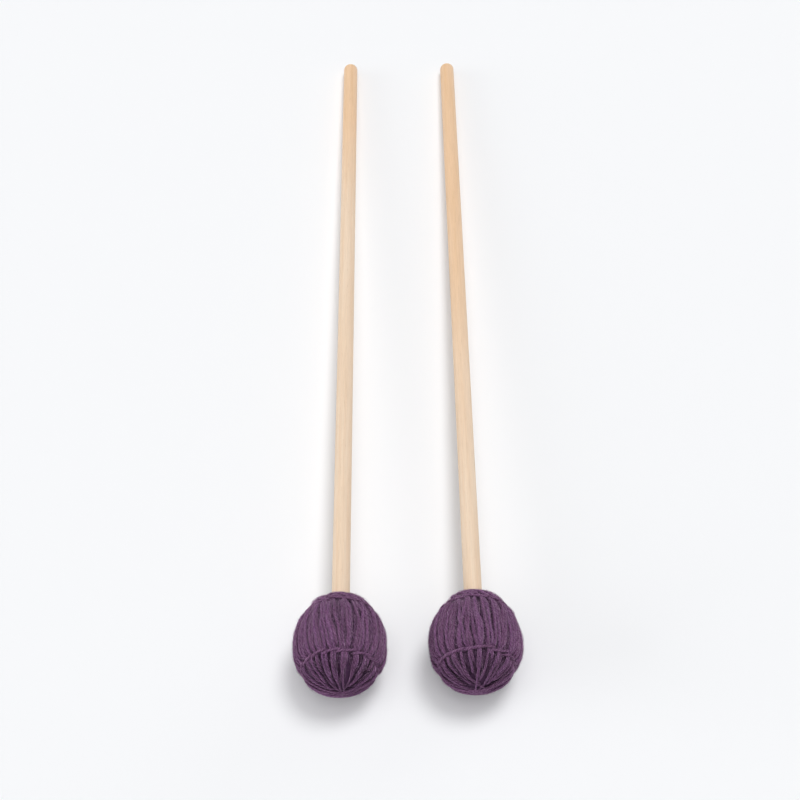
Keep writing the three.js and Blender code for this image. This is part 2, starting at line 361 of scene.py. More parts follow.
class Yarn:
    """Gathers tubes of yarn and makes one mesh of them."""

    def __init__(self, sides=9, plies=PLIES, valley=VALLEY, step=SOFT_STEP):
        self.around = np.linspace(0, 2 * math.pi, sides, endpoint=False)[None, :]
        between = 1 - np.abs(np.sin(plies / 2 * self.around))
        self.shape = 1 - valley * between
        self.ply_shade = PLY_SHADE * between if valley else 0 * between
        self.step = step
        self.points, self.fibres, self.tones, self.sunk, self.faces = [], [], [], [], []
        self.count = 0

    def add(self, place, outward, radius, sunk, tone, phase=0.0, ply_turn=PLY_TURN):
        """A tube along the places. The plies turn once in each ply_turn, and start at the phase."""
        run = run_along(place)
        even = np.linspace(0, run[-1], max(int(run[-1] / self.step), 3) + 1)
        place = np.stack([np.interp(even, run, place[:, n]) for n in range(3)], -1)
        outward = np.stack([np.interp(even, run, outward[:, n]) for n in range(3)], -1)
        radius = np.interp(even, run, radius)[:, None]
        sunk = np.interp(even, run, sunk)[:, None]
        ahead = unit(np.gradient(place, axis=0))
        across = unit(np.cross(ahead, outward))
        lifted = np.cross(across, ahead)
        twist = self.around + (2 * math.pi * even / ply_turn + phase)[:, None]
        aside = radius * self.shape * np.cos(twist)
        rise = radius * self.shape * np.sin(twist)
        point = place[:, None] + aside[..., None] * across[:, None] + rise[..., None] * lifted[:, None]
        fibre = np.broadcast_arrays(np.cos(self.around), np.sin(self.around), even[:, None] + 7 * phase)
        self.points.append(point.reshape(-1, 3))
        self.fibres.append(np.stack(fibre, -1).reshape(-1, 3))
        self.tones.append(np.full(rise.size, tone))
        # The stored depth drives the painted shade: depth below the top, less the ply's rise, plus the
        # ply valleys.
        self.sunk.append((sunk - rise + self.ply_shade).ravel())
        self.join(*rise.shape)

    def join(self, rings, sides):
        """The faces between the rings of the newest tube, and one at each of its ends."""
        first = self.count + np.arange(rings - 1)[:, None] * sides
        here = np.arange(sides)[None, :]
        there = (here + 1) % sides
        quads = np.stack([first + here, first + there, first + sides + there, first + sides + here], -1)
        self.faces += quads.reshape(-1, 4).tolist()
        self.faces.append((self.count + np.arange(sides))[::-1].tolist())
        self.faces.append((self.count + (rings - 1) * sides + np.arange(sides)).tolist())
        self.count += rings * sides

    def piece(self, name, side):
        """The mesh object, in the frame's metres. What would sink into the floor is pressed flat."""
        points = in_frame(off_centre(np.concatenate(self.points), POLE_SHIFT[side]), side)
        points[:, 2] = np.maximum(points[:, 2], FLOOR_GAP)
        mesh = bpy.data.meshes.new(name)
        mesh.from_pydata(points.tolist(), [], self.faces)
        mesh.attributes.new("fibre", "FLOAT_VECTOR", "POINT").data.foreach_set(
            "vector", np.concatenate(self.fibres).ravel())
        for key, values in (("tone", self.tones), ("sunk", self.sunk)):
            mesh.attributes.new(key, "FLOAT", "POINT").data.foreach_set(
                "value", np.concatenate(values))
        mesh.polygons.foreach_set("use_smooth", [True] * len(mesh.polygons))
        mesh.update()
        thing = bpy.data.objects.new(name, mesh)
        bpy.context.scene.collection.objects.link(thing)
        return thing


print("a strand shows a ply every", round(PLY_TURN / PLIES, 2), "mm")

# %% [markdown]
# All strands take the same stations from the tip to the neck, evenly spaced along a strand. A strand
# doesn't run into the axis. It passes it at a small distance, as wound yarn does, and the closer it
# comes, the more it turns round it. So it curls at the tip, and lies round the stick at the neck.

# %% Stations along a strand
STATIONS = 140
TIP_PASSING = 0.9
NECK_PASSING = 4.75
PLAIN_DEPTH = 0.9
FINE_STEPS = 9000
FINE_FROM = 0.02
FINE_TO = math.pi - 0.1
JUST_OUTSIDE = 1.0004


def curl(angle, passing, ring):
    """How far a strand has turned round the axis between a stitched ring and the axis."""
    return np.arcsin(np.clip(passing / girth(angle), -1, 1)) - np.arcsin(passing / girth(ring))


def even_stations():
    """The angles of the stations, and how far it is from one to the next."""
    fine = np.linspace(FINE_FROM, FINE_TO, FINE_STEPS)
    closest = np.where(fine < TIP_RING, TIP_PASSING, NECK_PASSING)
    fine = fine[girth(fine) > closest * JUST_OUTSIDE]
    turn = np.where(fine < TIP_RING, curl(fine, TIP_PASSING, TIP_RING), 0)
    turn = turn + np.where(fine > NECK_RING, curl(fine, NECK_PASSING, NECK_RING), 0)
    place, _ = egg(fine, turn, PLAIN_DEPTH)
    run = run_along(place)
    return np.interp(np.linspace(0, run[-1], STATIONS), run, fine), run[-1] / (STATIONS - 1)


angles, station_step = even_stations()
reaches = girth(angles)
print("a strand is", round(station_step * (STATIONS - 1), 1), "mm long")

# %% [markdown]
# A head is wound strand by strand. The strands below come first. They lie evenly, side by side, so
# that nothing deeper shows between those on top. Each one is only a little out of its place.

# %% Ways of the strands below
BASE_COUNT = 74
BASE_OFF = 0.1
BASE_LEAN = 0.012


def base_turns(rng, count):
    """The turn of each strand below at each station: an array of stations by strands."""
    places = rng.permutation(count) + rng.uniform(-BASE_OFF, BASE_OFF, count)
    lean = rng.normal(0, BASE_LEAN, count) * (angles[:, None] - TIP_RING)
    return places * 2 * math.pi / count + lean + rng.uniform(0, 1)


print("a strand below has", round(2 * math.pi * HEAD_RADIUS / BASE_COUNT, 2), "mm of the girth")

# %% [markdown]
# The strands on top make the pattern of the head. Over the tip they go in pairs: what comes up on one
# side goes down on the other, and both halves pass the axis at the same small distance. Half a golden
# angle from each pair to the next spreads them evenly. The last pairs all run from side to side, in
# arcs below the tip, one under another.

# %% Pairs over the tip
STRAND_COUNT = 94
GOLDEN_TURN = math.pi * (3 - math.sqrt(5))
PASSING_SPREAD = 2.2
LOW_PASSINGS = (12.2, 11.1, 10.0, 8.9, 7.8, 6.8, 5.8, 4.9, 4.0, 3.1, 2.2, 1.3)
OFF_PAIR = 0.02
OFF_LEVEL = 0.2


def pairs_over_tip(rng, count):
    """The turn of each strand at the tip's ring, in the order of winding, and its passing."""
    half = np.arange(count) % 2
    at_tip = np.arange(count) // 2 * GOLDEN_TURN / 2 + half * math.pi
    at_tip = at_tip + rng.uniform(-OFF_PAIR, OFF_PAIR, count)
    passing = np.repeat(rng.uniform(-PASSING_SPREAD, PASSING_SPREAD, count // 2), 2) * (1 - 2 * half)
    for n, low in enumerate(reversed(LOW_PASSINGS)):
        pair = slice(count - 2 * n - 2, count - 2 * n)
        bend = math.asin(low / girth(TIP_RING))
        aim = rng.uniform(-OFF_LEVEL, OFF_LEVEL)
        at_tip[pair] = math.pi / 2 - bend + aim, -math.pi / 2 + bend + aim
        passing[pair] = -low, low
    return at_tip, passing


print(STRAND_COUNT // 2, "pairs,", len(LOW_PASSINGS), "of them in arcs below the tip")

# %% [markdown]
# Each strand on top has its own way over the head. The stitches draw the strands together in bundles,
# with dark gaps between, so near a stitched ring every strand is pulled towards the middle of the
# nearest bundle. From ring to ring it leans one way or the other, and neighbours lean alike, as they
# were wound one after another. So strands cross at slight angles. At the stick most of them turn the
# same way round it.

# %% Ways of the strands on top
TIP_BUNDLES = 24
NECK_BUNDLES = 20
TIP_PULL = 0.5
NECK_PULL = 0.25
TIP_EASE = 0.13
NECK_EASE = 0.2
BROAD_LEAN = 0.14
NARROW_LEAN = 0.05
OWN_LEAN = 0.12
SAME_WAY = 0.92
WANDER = 0.026
WAVES_TOGETHER = 1.6
ANY_PHASE = 6


def to_nearest(turns, middles):
    """How far it is from each turn to the nearest of the middles."""
    beside = (middles[None, :] - turns[:, None] + math.pi) % (2 * math.pi) - math.pi
    return np.take_along_axis(beside, np.abs(beside).argmin(1)[:, None], 1)[:, 0]


def bundle_middles(rng, count):
    steps = rng.uniform(0.6, 1.4, count)
    return 2 * math.pi * np.cumsum(steps) / steps.sum()


def wander(rng, waves, shape):
    """Smooth random lines along all strands, about -1 to 1."""
    line = np.zeros(shape)
    for n in range(1, waves + 1):
        phase = rng.uniform(0, 2 * math.pi, shape[1])
        line += rng.normal(0, 1 / n, shape[1]) * np.sin(2 * n * angles[:, None] + phase)
    return line / WAVES_TOGETHER


def top_turns(rng, count):
    """The turn of each strand on top at each station, and how far the strand passes the axis."""
    at_tip, passing = pairs_over_tip(rng, count)
    lean = BROAD_LEAN * np.sin(2 * at_tip + rng.uniform(0, ANY_PHASE))
    lean = lean + NARROW_LEAN * np.sin(5 * at_tip + rng.uniform(0, ANY_PHASE))
    lean = lean + rng.normal(0, OWN_LEAN, count)
    tip_pull = TIP_PULL * to_nearest(at_tip, bundle_middles(rng, TIP_BUNDLES))
    neck_pull = NECK_PULL * to_nearest(at_tip + lean, bundle_middles(rng, NECK_BUNDLES))
    angle = angles[:, None]
    way = (angle - TIP_RING) / (NECK_RING - TIP_RING)
    turns = at_tip + lean * (eased(way) + np.clip(way, 0, 1)) / 2
    turns += tip_pull * np.exp(-np.maximum(angle - TIP_RING, 0) / TIP_EASE)
    turns += neck_pull * np.exp(-np.maximum(NECK_RING - angle, 0) / NECK_EASE)
    neck_side = np.where(rng.uniform(0, 1, count) < SAME_WAY, 1, -1)
    turns += np.where(angle < TIP_RING, curl(angle, passing, TIP_RING), 0)
    turns += neck_side * np.where(angle > NECK_RING, curl(angle, NECK_PASSING, NECK_RING), 0)
    return turns + WANDER * wander(rng, 7, turns.shape) * np.sin(angle), passing


print("leaning about", round(math.degrees(BROAD_LEAN + OWN_LEAN), 1), "degrees, either way")

# %% [markdown]
# Each strand lies on those that were wound before it. What is there already is kept as a map of
# heights, over the stations and round the head. A new strand first slides a little sideways, down
# into the valley between others. Then it is pulled taut: it rests on the high places and spans the
# low ones, no further than a straight line over a round head can. After that it is part of the map.

# %% Laying a strand
MAP_TURNS = 360
SLIDES = 4
SLIDE_STEP = 0.25
SLIDE_SHARE = 0.5
SLIDE_MOST = 0.12
SLIDE_ROUNDS = 40
TAUT_ROUNDS = 45
SOFT_ROUNDS = 5
PRESSED = 2.5
SOFTNESS = 0.8
SLANT_MOST = 5

map_turns = np.linspace(0, 2 * math.pi, MAP_TURNS, endpoint=False)


def disc(turn, thick):
    """How high a strand's round section stands over each place of the map, and where it is."""
    slant = np.minimum(np.hypot(1, reaches * np.gradient(turn) / station_step), SLANT_MOST)
    round_head = (map_turns - turn[:, None] + math.pi) % (2 * math.pi) - math.pi
    beside = round_head * (reaches / slant)[:, None]
    square = thick[:, None] ** 2 - beside ** 2
    return np.sqrt(np.maximum(square, 0)), square > 0


def support(ground, turn, thick):
    """The height at which a strand's middle comes to rest on the ground."""
    bulge, under = disc(turn, SOFTNESS * thick)
    return np.where(under, ground + bulge, 0).max(1)


def smoothed(line, rounds):
    for _ in range(rounds):
        line = np.concatenate([line[:1], (line[:-2] + 2 * line[1:-1] + line[2:]) / 4, line[-1:]])
    return line


def lay(ground, turn, thick, loose):
    """Where a strand comes to lie on the ground: its turn and height at each station."""
    for _ in range(SLIDES):
        aside = SLIDE_STEP / reaches
        slope = support(ground, turn + aside, thick) - support(ground, turn - aside, thick)
        move = np.clip(-SLIDE_SHARE * slope, -SLIDE_MOST, SLIDE_MOST) * loose
        turn = turn + smoothed(move, SLIDE_ROUNDS) / reaches
    rest = support(ground, turn, thick)
    height = rest.copy()
    sag = PRESSED * station_step ** 2 / (2 * HEAD_RADIUS)
    for _ in range(TAUT_ROUNDS):
        height[1:-1] = np.maximum(rest[1:-1], (height[:-2] + height[2:]) / 2 - sag)
    return turn, smoothed(height, SOFT_ROUNDS)


print("the map has", STATIONS * MAP_TURNS, "places")

# %% [markdown]
# A strand is thinner where it is squeezed, at the rings and near the axis. Near the tip and near the
# stick there is also less and less room. So there the strands that were wound first end one after
# another. Each end tapers and dives under the strands that come later.

# %% Thickness and ends
STRAND_RADIUS = 0.74
THIN_AT_TIP = 0.62
THIN_AT_NECK = 0.74
THIN_IN_FAN = 0.82
FULL_FROM_TIP = 12
FULL_FROM_NECK = 10
TIP_ROOM = 17.5
TIP_CROWDING = 1.5
BASE_TIP_ROOM = 14.0
BASE_TIP_LEAST = 2
NECK_ROOM = 15.0
UNEVEN_END = 0.5
UNEVEN_NECK = 0.03
DIVE = 1.7
DIVE_LENGTH = 3.5
DIVE_LEAST = 0.4
SMALL_RING = 6.0
TAPER_LENGTH = 2.6
TAPER_LEAST = 0.45


def thickness(angle):
    """A strand's radius at each angle, as a share of its full radius."""
    share = THIN_AT_TIP + (1 - THIN_AT_TIP) * eased(girth(angle) / FULL_FROM_TIP)
    from_stick = girth(angle) - NECK_PASSING
    by_stick = THIN_AT_NECK + (1 - THIN_AT_NECK) * eased(from_stick / FULL_FROM_NECK)
    share = np.where(angle > NECK_RING, by_stick, share) * np.where(angle < TIP_RING, THIN_IN_FAN, 1)
    return share * (1 - 0.12 * hump(angle, TIP_RING, 0.1) - 0.1 * hump(angle, NECK_RING, 0.1))


def ends_at_tip(rng, from_top):
    """How far from the axis each strand ends at the tip. The two halves of a pair end alike."""
    low = 2 * len(LOW_PASSINGS) / STRAND_COUNT
    ends = TIP_ROOM * np.clip((from_top - low) / (1 - low), 0, 1) ** TIP_CROWDING
    ends += np.repeat(rng.uniform(-UNEVEN_END, UNEVEN_END, len(ends) // 2), 2)
    ends[1::2] = ends[::2]
    ends[:BASE_COUNT] = BASE_TIP_ROOM * from_top[:BASE_COUNT] + BASE_TIP_LEAST
    return ends


def dived(height, thick, from_end):
    """A strand's height and radius at each station, with the ends tapered and under the others."""
    dive = DIVE * (1 - eased(from_end / DIVE_LENGTH))
    dive = dive * np.where(angles < TIP_RING, np.clip(reaches / SMALL_RING, DIVE_LEAST, 1), 1)
    return height - dive, thick * (TAPER_LEAST + (1 - TAPER_LEAST) * eased(from_end / TAPER_LENGTH))


print("a strand is", 2 * STRAND_RADIUS, "mm thick where it has room")

# %% [markdown]
# Now all strands of a head are laid, first those below and then those on top. Towards the stick the
# whole winding is turned round it, so that it closes in a slanting collar. The stitches hold the
# strands near both rings, so they slide less there.

# %% All strands of a head
COLLAR_END = math.radians(166)
COLLAR_TWIST = {"left": 1.3, "right": 0.7}
UNEVEN_STRANDS = 0.1
UNEVEN_ALONG = 0.05
HELD_AT_TIP = 0.8
HELD_AT_NECK = 0.7
HELD_WIDTH = 0.1


def planned(rng, twist):
    """The turns of all strands, how far each passes the axis, and their radii."""
    turns, passing = top_turns(rng, STRAND_COUNT)
    turns = np.concatenate([base_turns(rng, BASE_COUNT), turns], 1)
    turns += twist * eased((angles - NECK_RING) / (COLLAR_END - NECK_RING))[:, None]
    passing = np.concatenate([np.zeros(BASE_COUNT), passing])
    share = rng.uniform(1 - UNEVEN_STRANDS, 1 + UNEVEN_STRANDS, len(passing))
    thicks = STRAND_RADIUS * thickness(angles)[:, None] * share
    return turns, passing, thicks * (1 + UNEVEN_ALONG * wander(rng, 6, turns.shape))


def lay_all(rng, turns, passing, thicks):
    """Lays strand upon strand. Returns how each one lies, and the map of heights."""
    held = HELD_AT_TIP * hump(angles, TIP_RING, HELD_WIDTH)
    loose = 1 - held - HELD_AT_NECK * hump(angles, NECK_RING, HELD_WIDTH)
    from_top = np.concatenate([1 - np.arange(n) / n for n in (BASE_COUNT, STRAND_COUNT)])
    tip_end = ends_at_tip(rng, from_top)
    neck_end = NECK_ROOM * (from_top + rng.uniform(-UNEVEN_NECK, UNEVEN_NECK, len(from_top)))
    ground = np.zeros((STATIONS, MAP_TURNS))
    laid = []
    for i, passes in enumerate(np.abs(passing)):
        shown = np.where(angles < TIP_RING, reaches > max(tip_end[i], passes), True)
        shown &= np.where(angles > NECK_RING, reaches > neck_end[i], True)
        steps = np.flatnonzero(shown)
        ends_here = tip_end[i] > max(passes, TIP_PASSING)
        from_tip = np.arange(STATIONS) - steps[0] if ends_here else STATIONS
        from_end = np.minimum(from_tip, steps[-1] - np.arange(STATIONS)) * station_step
        turn, height = lay(ground, turns[:, i], thicks[:, i], loose if i >= BASE_COUNT else 0)
        height, thick = dived(height, thicks[:, i], from_end)
        bulge, under = disc(turn, thick)
        ground = np.maximum(ground, np.where(under & shown[:, None], height[:, None] + bulge, 0))
        laid.append((steps, turn, height, thick, None if ends_here else passes))
    return laid, ground


print("the collar turns by", [round(math.degrees(COLLAR_TWIST[side])) for side in SIDES], "degrees")

# %% [markdown]
# At the end the whole winding is moved in or out, place by place, so that its top comes evenly to the
# surface of the egg, and a strand that still stands out far is pressed in. Two halves that meet over
# the tip become one strand. Between the tip and its ring the strands fan out over gaps that little
# light reaches, so there each point stores more depth than it has, and the material paints a deeper
# shade there.

# %% Winding a head
TOP_DEPTH = 0.1
EVEN_TURN = 0.22
EVEN_ROUNDS = 40
STAND_OUT = 0.4
BASE_SINK = 1.1
BASE_SINK_FROM = TIP_RING + 0.06
FAN_EDGE = 0.2
# Painted shade for the fan: these add to the stored depth only, not to where the strands lie.
FAN_SHADE = 0.2
FAN_SHADE_GAIN = 1.5
JOINT_POINTS = 6
JOINT_ROUNDS = 8


def evened(ground):
    """The map of heights, smoothed along the strands and round the head."""
    waves = np.arange(MAP_TURNS // 2 + 1)
    level = np.fft.rfft(smoothed(ground, EVEN_ROUNDS), axis=1) * np.exp(-((waves * EVEN_TURN) ** 2) / 2)
    return np.fft.irfft(level, MAP_TURNS, axis=1)


def pressed(height):
    """Heights above the level, with those that stand out pressed in."""
    return np.where(height > 0, STAND_OUT * np.tanh(height / STAND_OUT), height)


def look_up(values, angle, turn):
    """What a map holds at some places."""
    station = np.clip(np.searchsorted(angles, angle), 0, STATIONS - 1)
    place = np.round(turn / (2 * math.pi) * MAP_TURNS).astype(int) % MAP_TURNS
    return values[station, place]


def joined(one, other):
    """One strand out of two halves that meet over the tip, with a soft bend where they do."""
    whole = [np.concatenate([a[::-1], b]) for a, b in zip(one, other)]
    near = slice(max(len(one[0]) - JOINT_POINTS, 0), len(one[0]) + JOINT_POINTS)
    for part in whole:
        part[near] = smoothed(part[near], JOINT_ROUNDS)
    return whole


def to_closest(angle, turn, depth, thick, passing):
    """A half strand with one more point, where it passes closest to the axis."""
    tip_side = slice(STATIONS // 3)
    closest = np.interp(abs(passing), reaches[tip_side], angles[tip_side])
    nearer = curl(closest, passing, TIP_RING) - curl(angle[0], passing, TIP_RING)
    firsts = (closest, turn[0] + nearer, depth[0], thick[0])
    return [np.insert(values, 0, first) for values, first in zip((angle, turn, depth, thick), firsts)]


def wind(rng, twist):
    """The strands below and on top, as places, outward directions, radii and depths for the painted
    shade, and the top.
    """
    turns, passing, thicks = planned(rng, twist)
    laid, ground = lay_all(rng, turns, passing, thicks)
    level = evened(ground)
    base_sink = BASE_SINK * eased((BASE_SINK_FROM - angles) / FAN_EDGE)
    first_low = len(laid) - 2 * len(LOW_PASSINGS)
    strands = []
    for i, (steps, turn, height, thick, meets) in enumerate(laid):
        top = height + thick - look_up(level, angles, turn)
        depth = TOP_DEPTH - pressed(top) + thick + (base_sink if i < BASE_COUNT else 0)
        angle, turn, depth, thick = angles[steps], turn[steps], depth[steps], thick[steps]
        if meets and meets > reaches[0]:
            angle, turn, depth, thick = to_closest(angle, turn, depth, thick, passing[i])
        place, outward = egg(angle, turn, depth + groove(angle))
        in_fan = eased((TIP_RING - angle) / FAN_EDGE) * (i < first_low)
        # The fourth entry is the depth for the painted shade, made deeper in the fan.
        strand = (place, outward, thick, depth + in_fan * (FAN_SHADE + FAN_SHADE_GAIN * depth))
        if meets and i % 2:
            strand = joined(strands.pop(), strand)
        strands.append(strand)
    return strands[:BASE_COUNT], strands[BASE_COUNT:], TOP_DEPTH - pressed(ground - level)


print("strands stand out by", STAND_OUT, "mm at most")

# %% [markdown]
# Each head has its own seed, so the two differ as real ones do, and each comes out the same every
# time. The strands on top make two meshes, because one would be too heavy. Little is seen of those
# below, so they have fewer sides.

# %% Both windings
SEEDS = {"left": 11, "right": 27}
windings, crests = {}, {}
for side in SIDES:
    rng = np.random.default_rng(SEEDS[side])
    base, strands, crests[side] = wind(rng, COLLAR_TWIST[side])
    half = len(strands) // 2
    for layer, members in (("base", base), ("under", strands[:half]), ("over", strands[half:])):
        yarn = Yarn(sides=6, plies=2, step=0.7) if layer == "base" else Yarn()
        for strand in members:
            yarn.add(*strand, rng.uniform(0, 1), rng.uniform(0, ANY_PHASE))
        windings[side, layer] = yarn.piece(f"{side}_yarn_winding_{layer}", side)
        print(side, layer, "has", len(windings[side, layer].data.polygons), "faces")

# %% [markdown]
# Under the winding, a solid body stands for the older layers and keeps light from passing through
# the head. It starts as a sphere, and each point of it is set on the egg, with the same grooves as
# the yarn above it. It lies deep under the sides, where many strands cover it, and comes closer to
# the surface towards the tip, where few do.

# %% Body of the head
BODY_DEPTH = 2.9
BODY_DEPTH_AT_TIP = 2.1
BODY_DEPTH_AT_POLE = 1.1
TIP_EDGE = 0.3
POLE_ANGLE = 0.5
POLE_EDGE = 0.35


def body_depth(angle):
    """How far the body lies below the surface of the egg."""
    tip_share = eased((TIP_RING + TIP_EDGE - angle) / TIP_EDGE)
    pole_share = eased((POLE_ANGLE - angle) / POLE_EDGE)
    depth = BODY_DEPTH + (BODY_DEPTH_AT_TIP - BODY_DEPTH) * tip_share
    return depth + (BODY_DEPTH_AT_POLE - BODY_DEPTH_AT_TIP) * pole_share


bodies = {}
for side in SIDES:
    bpy.ops.object.select_all(action="DESELECT")
    bpy.ops.mesh.primitive_uv_sphere_add(segments=64, ring_count=48, radius=1)
    body = bpy.context.object
    body.name = f"{side}_yarn_body"
    ball = np.array([v.co for v in body.data.vertices])
    angle = np.arccos(np.clip(-ball[:, 2], -1, 1))
    turn = np.arctan2(ball[:, 0], -ball[:, 1])
    place, _ = egg(angle, turn, body_depth(angle) + groove(angle))
    body.data.vertices.foreach_set("co", in_frame(place, side).ravel())
    bpy.ops.object.mode_set(mode="EDIT")
    bpy.ops.mesh.select_all(action="SELECT")
    bpy.ops.mesh.normals_make_consistent(inside=False)
    bpy.ops.object.mode_set(mode="OBJECT")
    bpy.ops.object.shade_smooth()
    bodies[side] = body
print("body", len(bodies["left"].data.polygons), "faces")

# %% [markdown]
# A ring of backstitches holds each end. A stitch comes up between two strands, crosses a few of
# them at a slight slant and goes down again, and the next one starts beside its end. So each
# stitch is a short piece of the same yarn, bent round the head, with both ends dipped under.

# %% Stitches
RINGS = (
    # name, angle, stitches, radius, how far they are sunk, slant
    ("tip", TIP_RING, 15, 0.7, 0.7, -0.05),
    ("neck", NECK_RING, 10, 0.6, 0.5, 0.04),
)
STITCH_POINTS = 31
STITCH_TURN = 4.4
STITCH_DIVE = 3.0
DIVES_FROM = 0.68
SPAN_POINTS = 3
TAUT_POINTS = 9
BEND = 0.014


def sew_ring(yarn, rng, crest, ring, count, radius, sunk, slant):
    """Adds a ring of stitches that span the strands of the crest."""
    share = np.linspace(-1, 1, STITCH_POINTS)
    dive = STITCH_DIVE * (np.clip(np.abs(share) - DIVES_FROM, 0, 1) / (1 - DIVES_FROM)) ** 1.5
    for i in range(count):
        middle = (i + rng.uniform(-0.12, 0.12)) * 2 * math.pi / count
        half = math.pi / count * rng.uniform(1.35, 1.6)
        turn = middle + half * share
        angle = ring + slant * rng.uniform(0.5, 1.5) * share + rng.uniform(-0.018, 0.018)
        angle = angle + BEND * np.sin(math.pi * share + rng.uniform(-1.5, 1.5))
        under = look_up(crest, angle, turn)
        over = np.min([np.roll(under, n) for n in range(-SPAN_POINTS, SPAN_POINTS + 1)], axis=0)
        padded = np.pad(over, TAUT_POINTS // 2, "edge")
        taut = np.convolve(padded, np.full(TAUT_POINTS, 1 / TAUT_POINTS), "valid")
        place, outward = egg(angle, turn, taut + groove(angle) - radius + sunk + dive)
        thick = radius * rng.uniform(0.92, 1.08) * (1 - 0.45 * np.abs(share) ** 4)
        tone, phase = rng.uniform(0.2, 0.9), rng.uniform(0, ANY_PHASE)
        # The stored depth grows where a stitch dives, so its ends get painted shade.
        yarn.add(place, outward, thick, thick + dive, tone, phase, STITCH_TURN)


stitches = {}
for side in SIDES:
    rng = np.random.default_rng(SEEDS[side] + 100)
    for name, *sizes in RINGS:
        yarn = Yarn(sides=12, step=0.34)
        sew_ring(yarn, rng, crests[side], *sizes)
        stitches[side, name] = yarn.piece(f"{side}_{name}_stitches", side)
print("stitched rings", len(stitches))

# %% [markdown]
# Yarn is never quite smooth. Loose fibres stand off it, thinner than a hair, and they soften the
# look of every strand and the outline of the head. Each is a thread of three sides with a few
# bends, so some thousands of them stay light. There are fewer towards the tip, where the dark gaps
# between the strands have to stay clear, and none on the stick.

# %% Loose fibres
FIBRE_RADIUS = 0.024
FIBRE_COUNT = 7500
FIBRE_POINTS = 6
FIBRE_FROM = 0.015
FIBRE_CROWDING = 0.6
LAST_COSINE = -0.94


def add_fibre(yarn, rng, crest):
    """A bent thread that stands off the crest, in a place and a direction of its own."""
    share = np.linspace(0, 1, FIBRE_POINTS)
    down = rng.uniform(FIBRE_FROM, 1) ** FIBRE_CROWDING
    angle = math.acos(1 - (1 - LAST_COSINE) * down)
    turn = rng.uniform(0, 2 * math.pi)
    length = rng.uniform(1.6, 4.4)
    way = rng.normal(0, 0.4) + rng.choice([0, math.pi]) + rng.normal(0, 0.5) * share
    angle_line = angle + length * share * np.cos(way) / HEAD_RADIUS
    turn_line = turn + length * share * np.sin(way) / (HEAD_RADIUS * max(math.sin(angle), 0.2))
    rise = rng.uniform(0.05, 0.6) * np.sin(math.pi * share * rng.uniform(0.45, 1.0))
    under = look_up(crest, angle_line, turn_line).mean()
    place, outward = egg(angle_line, turn_line, under + groove(angle_line) - rise)
    thick = np.full(FIBRE_POINTS, FIBRE_RADIUS)
    yarn.add(place, outward, thick, np.zeros(FIBRE_POINTS), rng.uniform(0, 1))


fuzz = {}
for side in SIDES:
    rng = np.random.default_rng(SEEDS[side] + 200)
    yarn = Yarn(sides=3, plies=0, valley=0, step=0.9)
    for _ in range(FIBRE_COUNT):
        add_fibre(yarn, rng, crests[side])
    fuzz[side] = yarn.piece(f"{side}_loose_fibres", side)
print("loose fibres", len(fuzz["left"].data.polygons), "faces a head")

# %% [markdown]
# The stick is a dowel turned on a lathe, so it is modelled as one: a cylinder, its butt end
# bevelled to a rounded shoulder with a small flat face. Cuts along it carry a warmth that grows
# towards the butt, because the wood of each stick changes colour slowly along its length.

# %% Birch sticks
SHAFT_SIDES = 64
NOSE_PLACE = -4.2
LENGTH_CUTS = 40
WARM_FROM = {"left": 270.0, "right": 60.0}
WARM_TO = {"left": 365.0, "right": 300.0}

stick_length = butt_place - NOSE_PLACE
stick_middle = NOSE_PLACE + stick_length / 2


def select_edges(thing, wanted):
    """Goes to edit mode, with just those edges selected whose two ends are wanted."""
    bpy.ops.object.mode_set(mode="EDIT")
    bpy.ops.mesh.select_mode(type="EDGE")
    bpy.ops.mesh.select_all(action="DESELECT")
    bpy.ops.object.mode_set(mode="OBJECT")
    for edge in thing.data.edges:
        edge.select = wanted(*(thing.data.vertices[v].co for v in edge.vertices))
    bpy.ops.object.mode_set(mode="EDIT")


sticks = {}
for side in SIDES:
    bpy.ops.object.select_all(action="DESELECT")
    bpy.ops.mesh.primitive_cylinder_add(
        vertices=SHAFT_SIDES, radius=SHAFT_RADIUS, depth=stick_length, location=(0, 0, 0))
    stick = bpy.context.object
    stick.name = f"{side}_birch_shaft"
    select_edges(stick, lambda a, b: a.z > 0 and b.z > 0)
    bpy.ops.mesh.bevel(offset=BUTT_ROUND, segments=10, profile=0.5)
    select_edges(stick, lambda a, b: abs(a.z - b.z) > stick_length / 2)
    bpy.ops.mesh.subdivide(number_cuts=LENGTH_CUTS)
    bpy.ops.object.mode_set(mode="OBJECT")
    along = np.array([v.co.z for v in stick.data.vertices]) + stick_middle
    warm = eased((along - WARM_FROM[side]) / (WARM_TO[side] - WARM_FROM[side]))
    stick.data.attributes.new("warm", "FLOAT", "POINT").data.foreach_set("value", warm)
    stick.data.transform(frames[side]
                         @ Matrix.Translation((0, stick_middle, 0))
                         @ Matrix.Rotation(math.radians(-90), 4, "X"))
    bpy.ops.object.shade_smooth_by_angle(angle=math.radians(40))
    sticks[side] = stick
print("stick", round(stick_length, 1), "mm long, as far as its nose in the core")

# %% [markdown]
# Fibres in yarn and grain in wood are both long thin streaks, so one node group makes them: noise
# that is stretched along one axis. Each material gives it its own coordinates and its own scale.


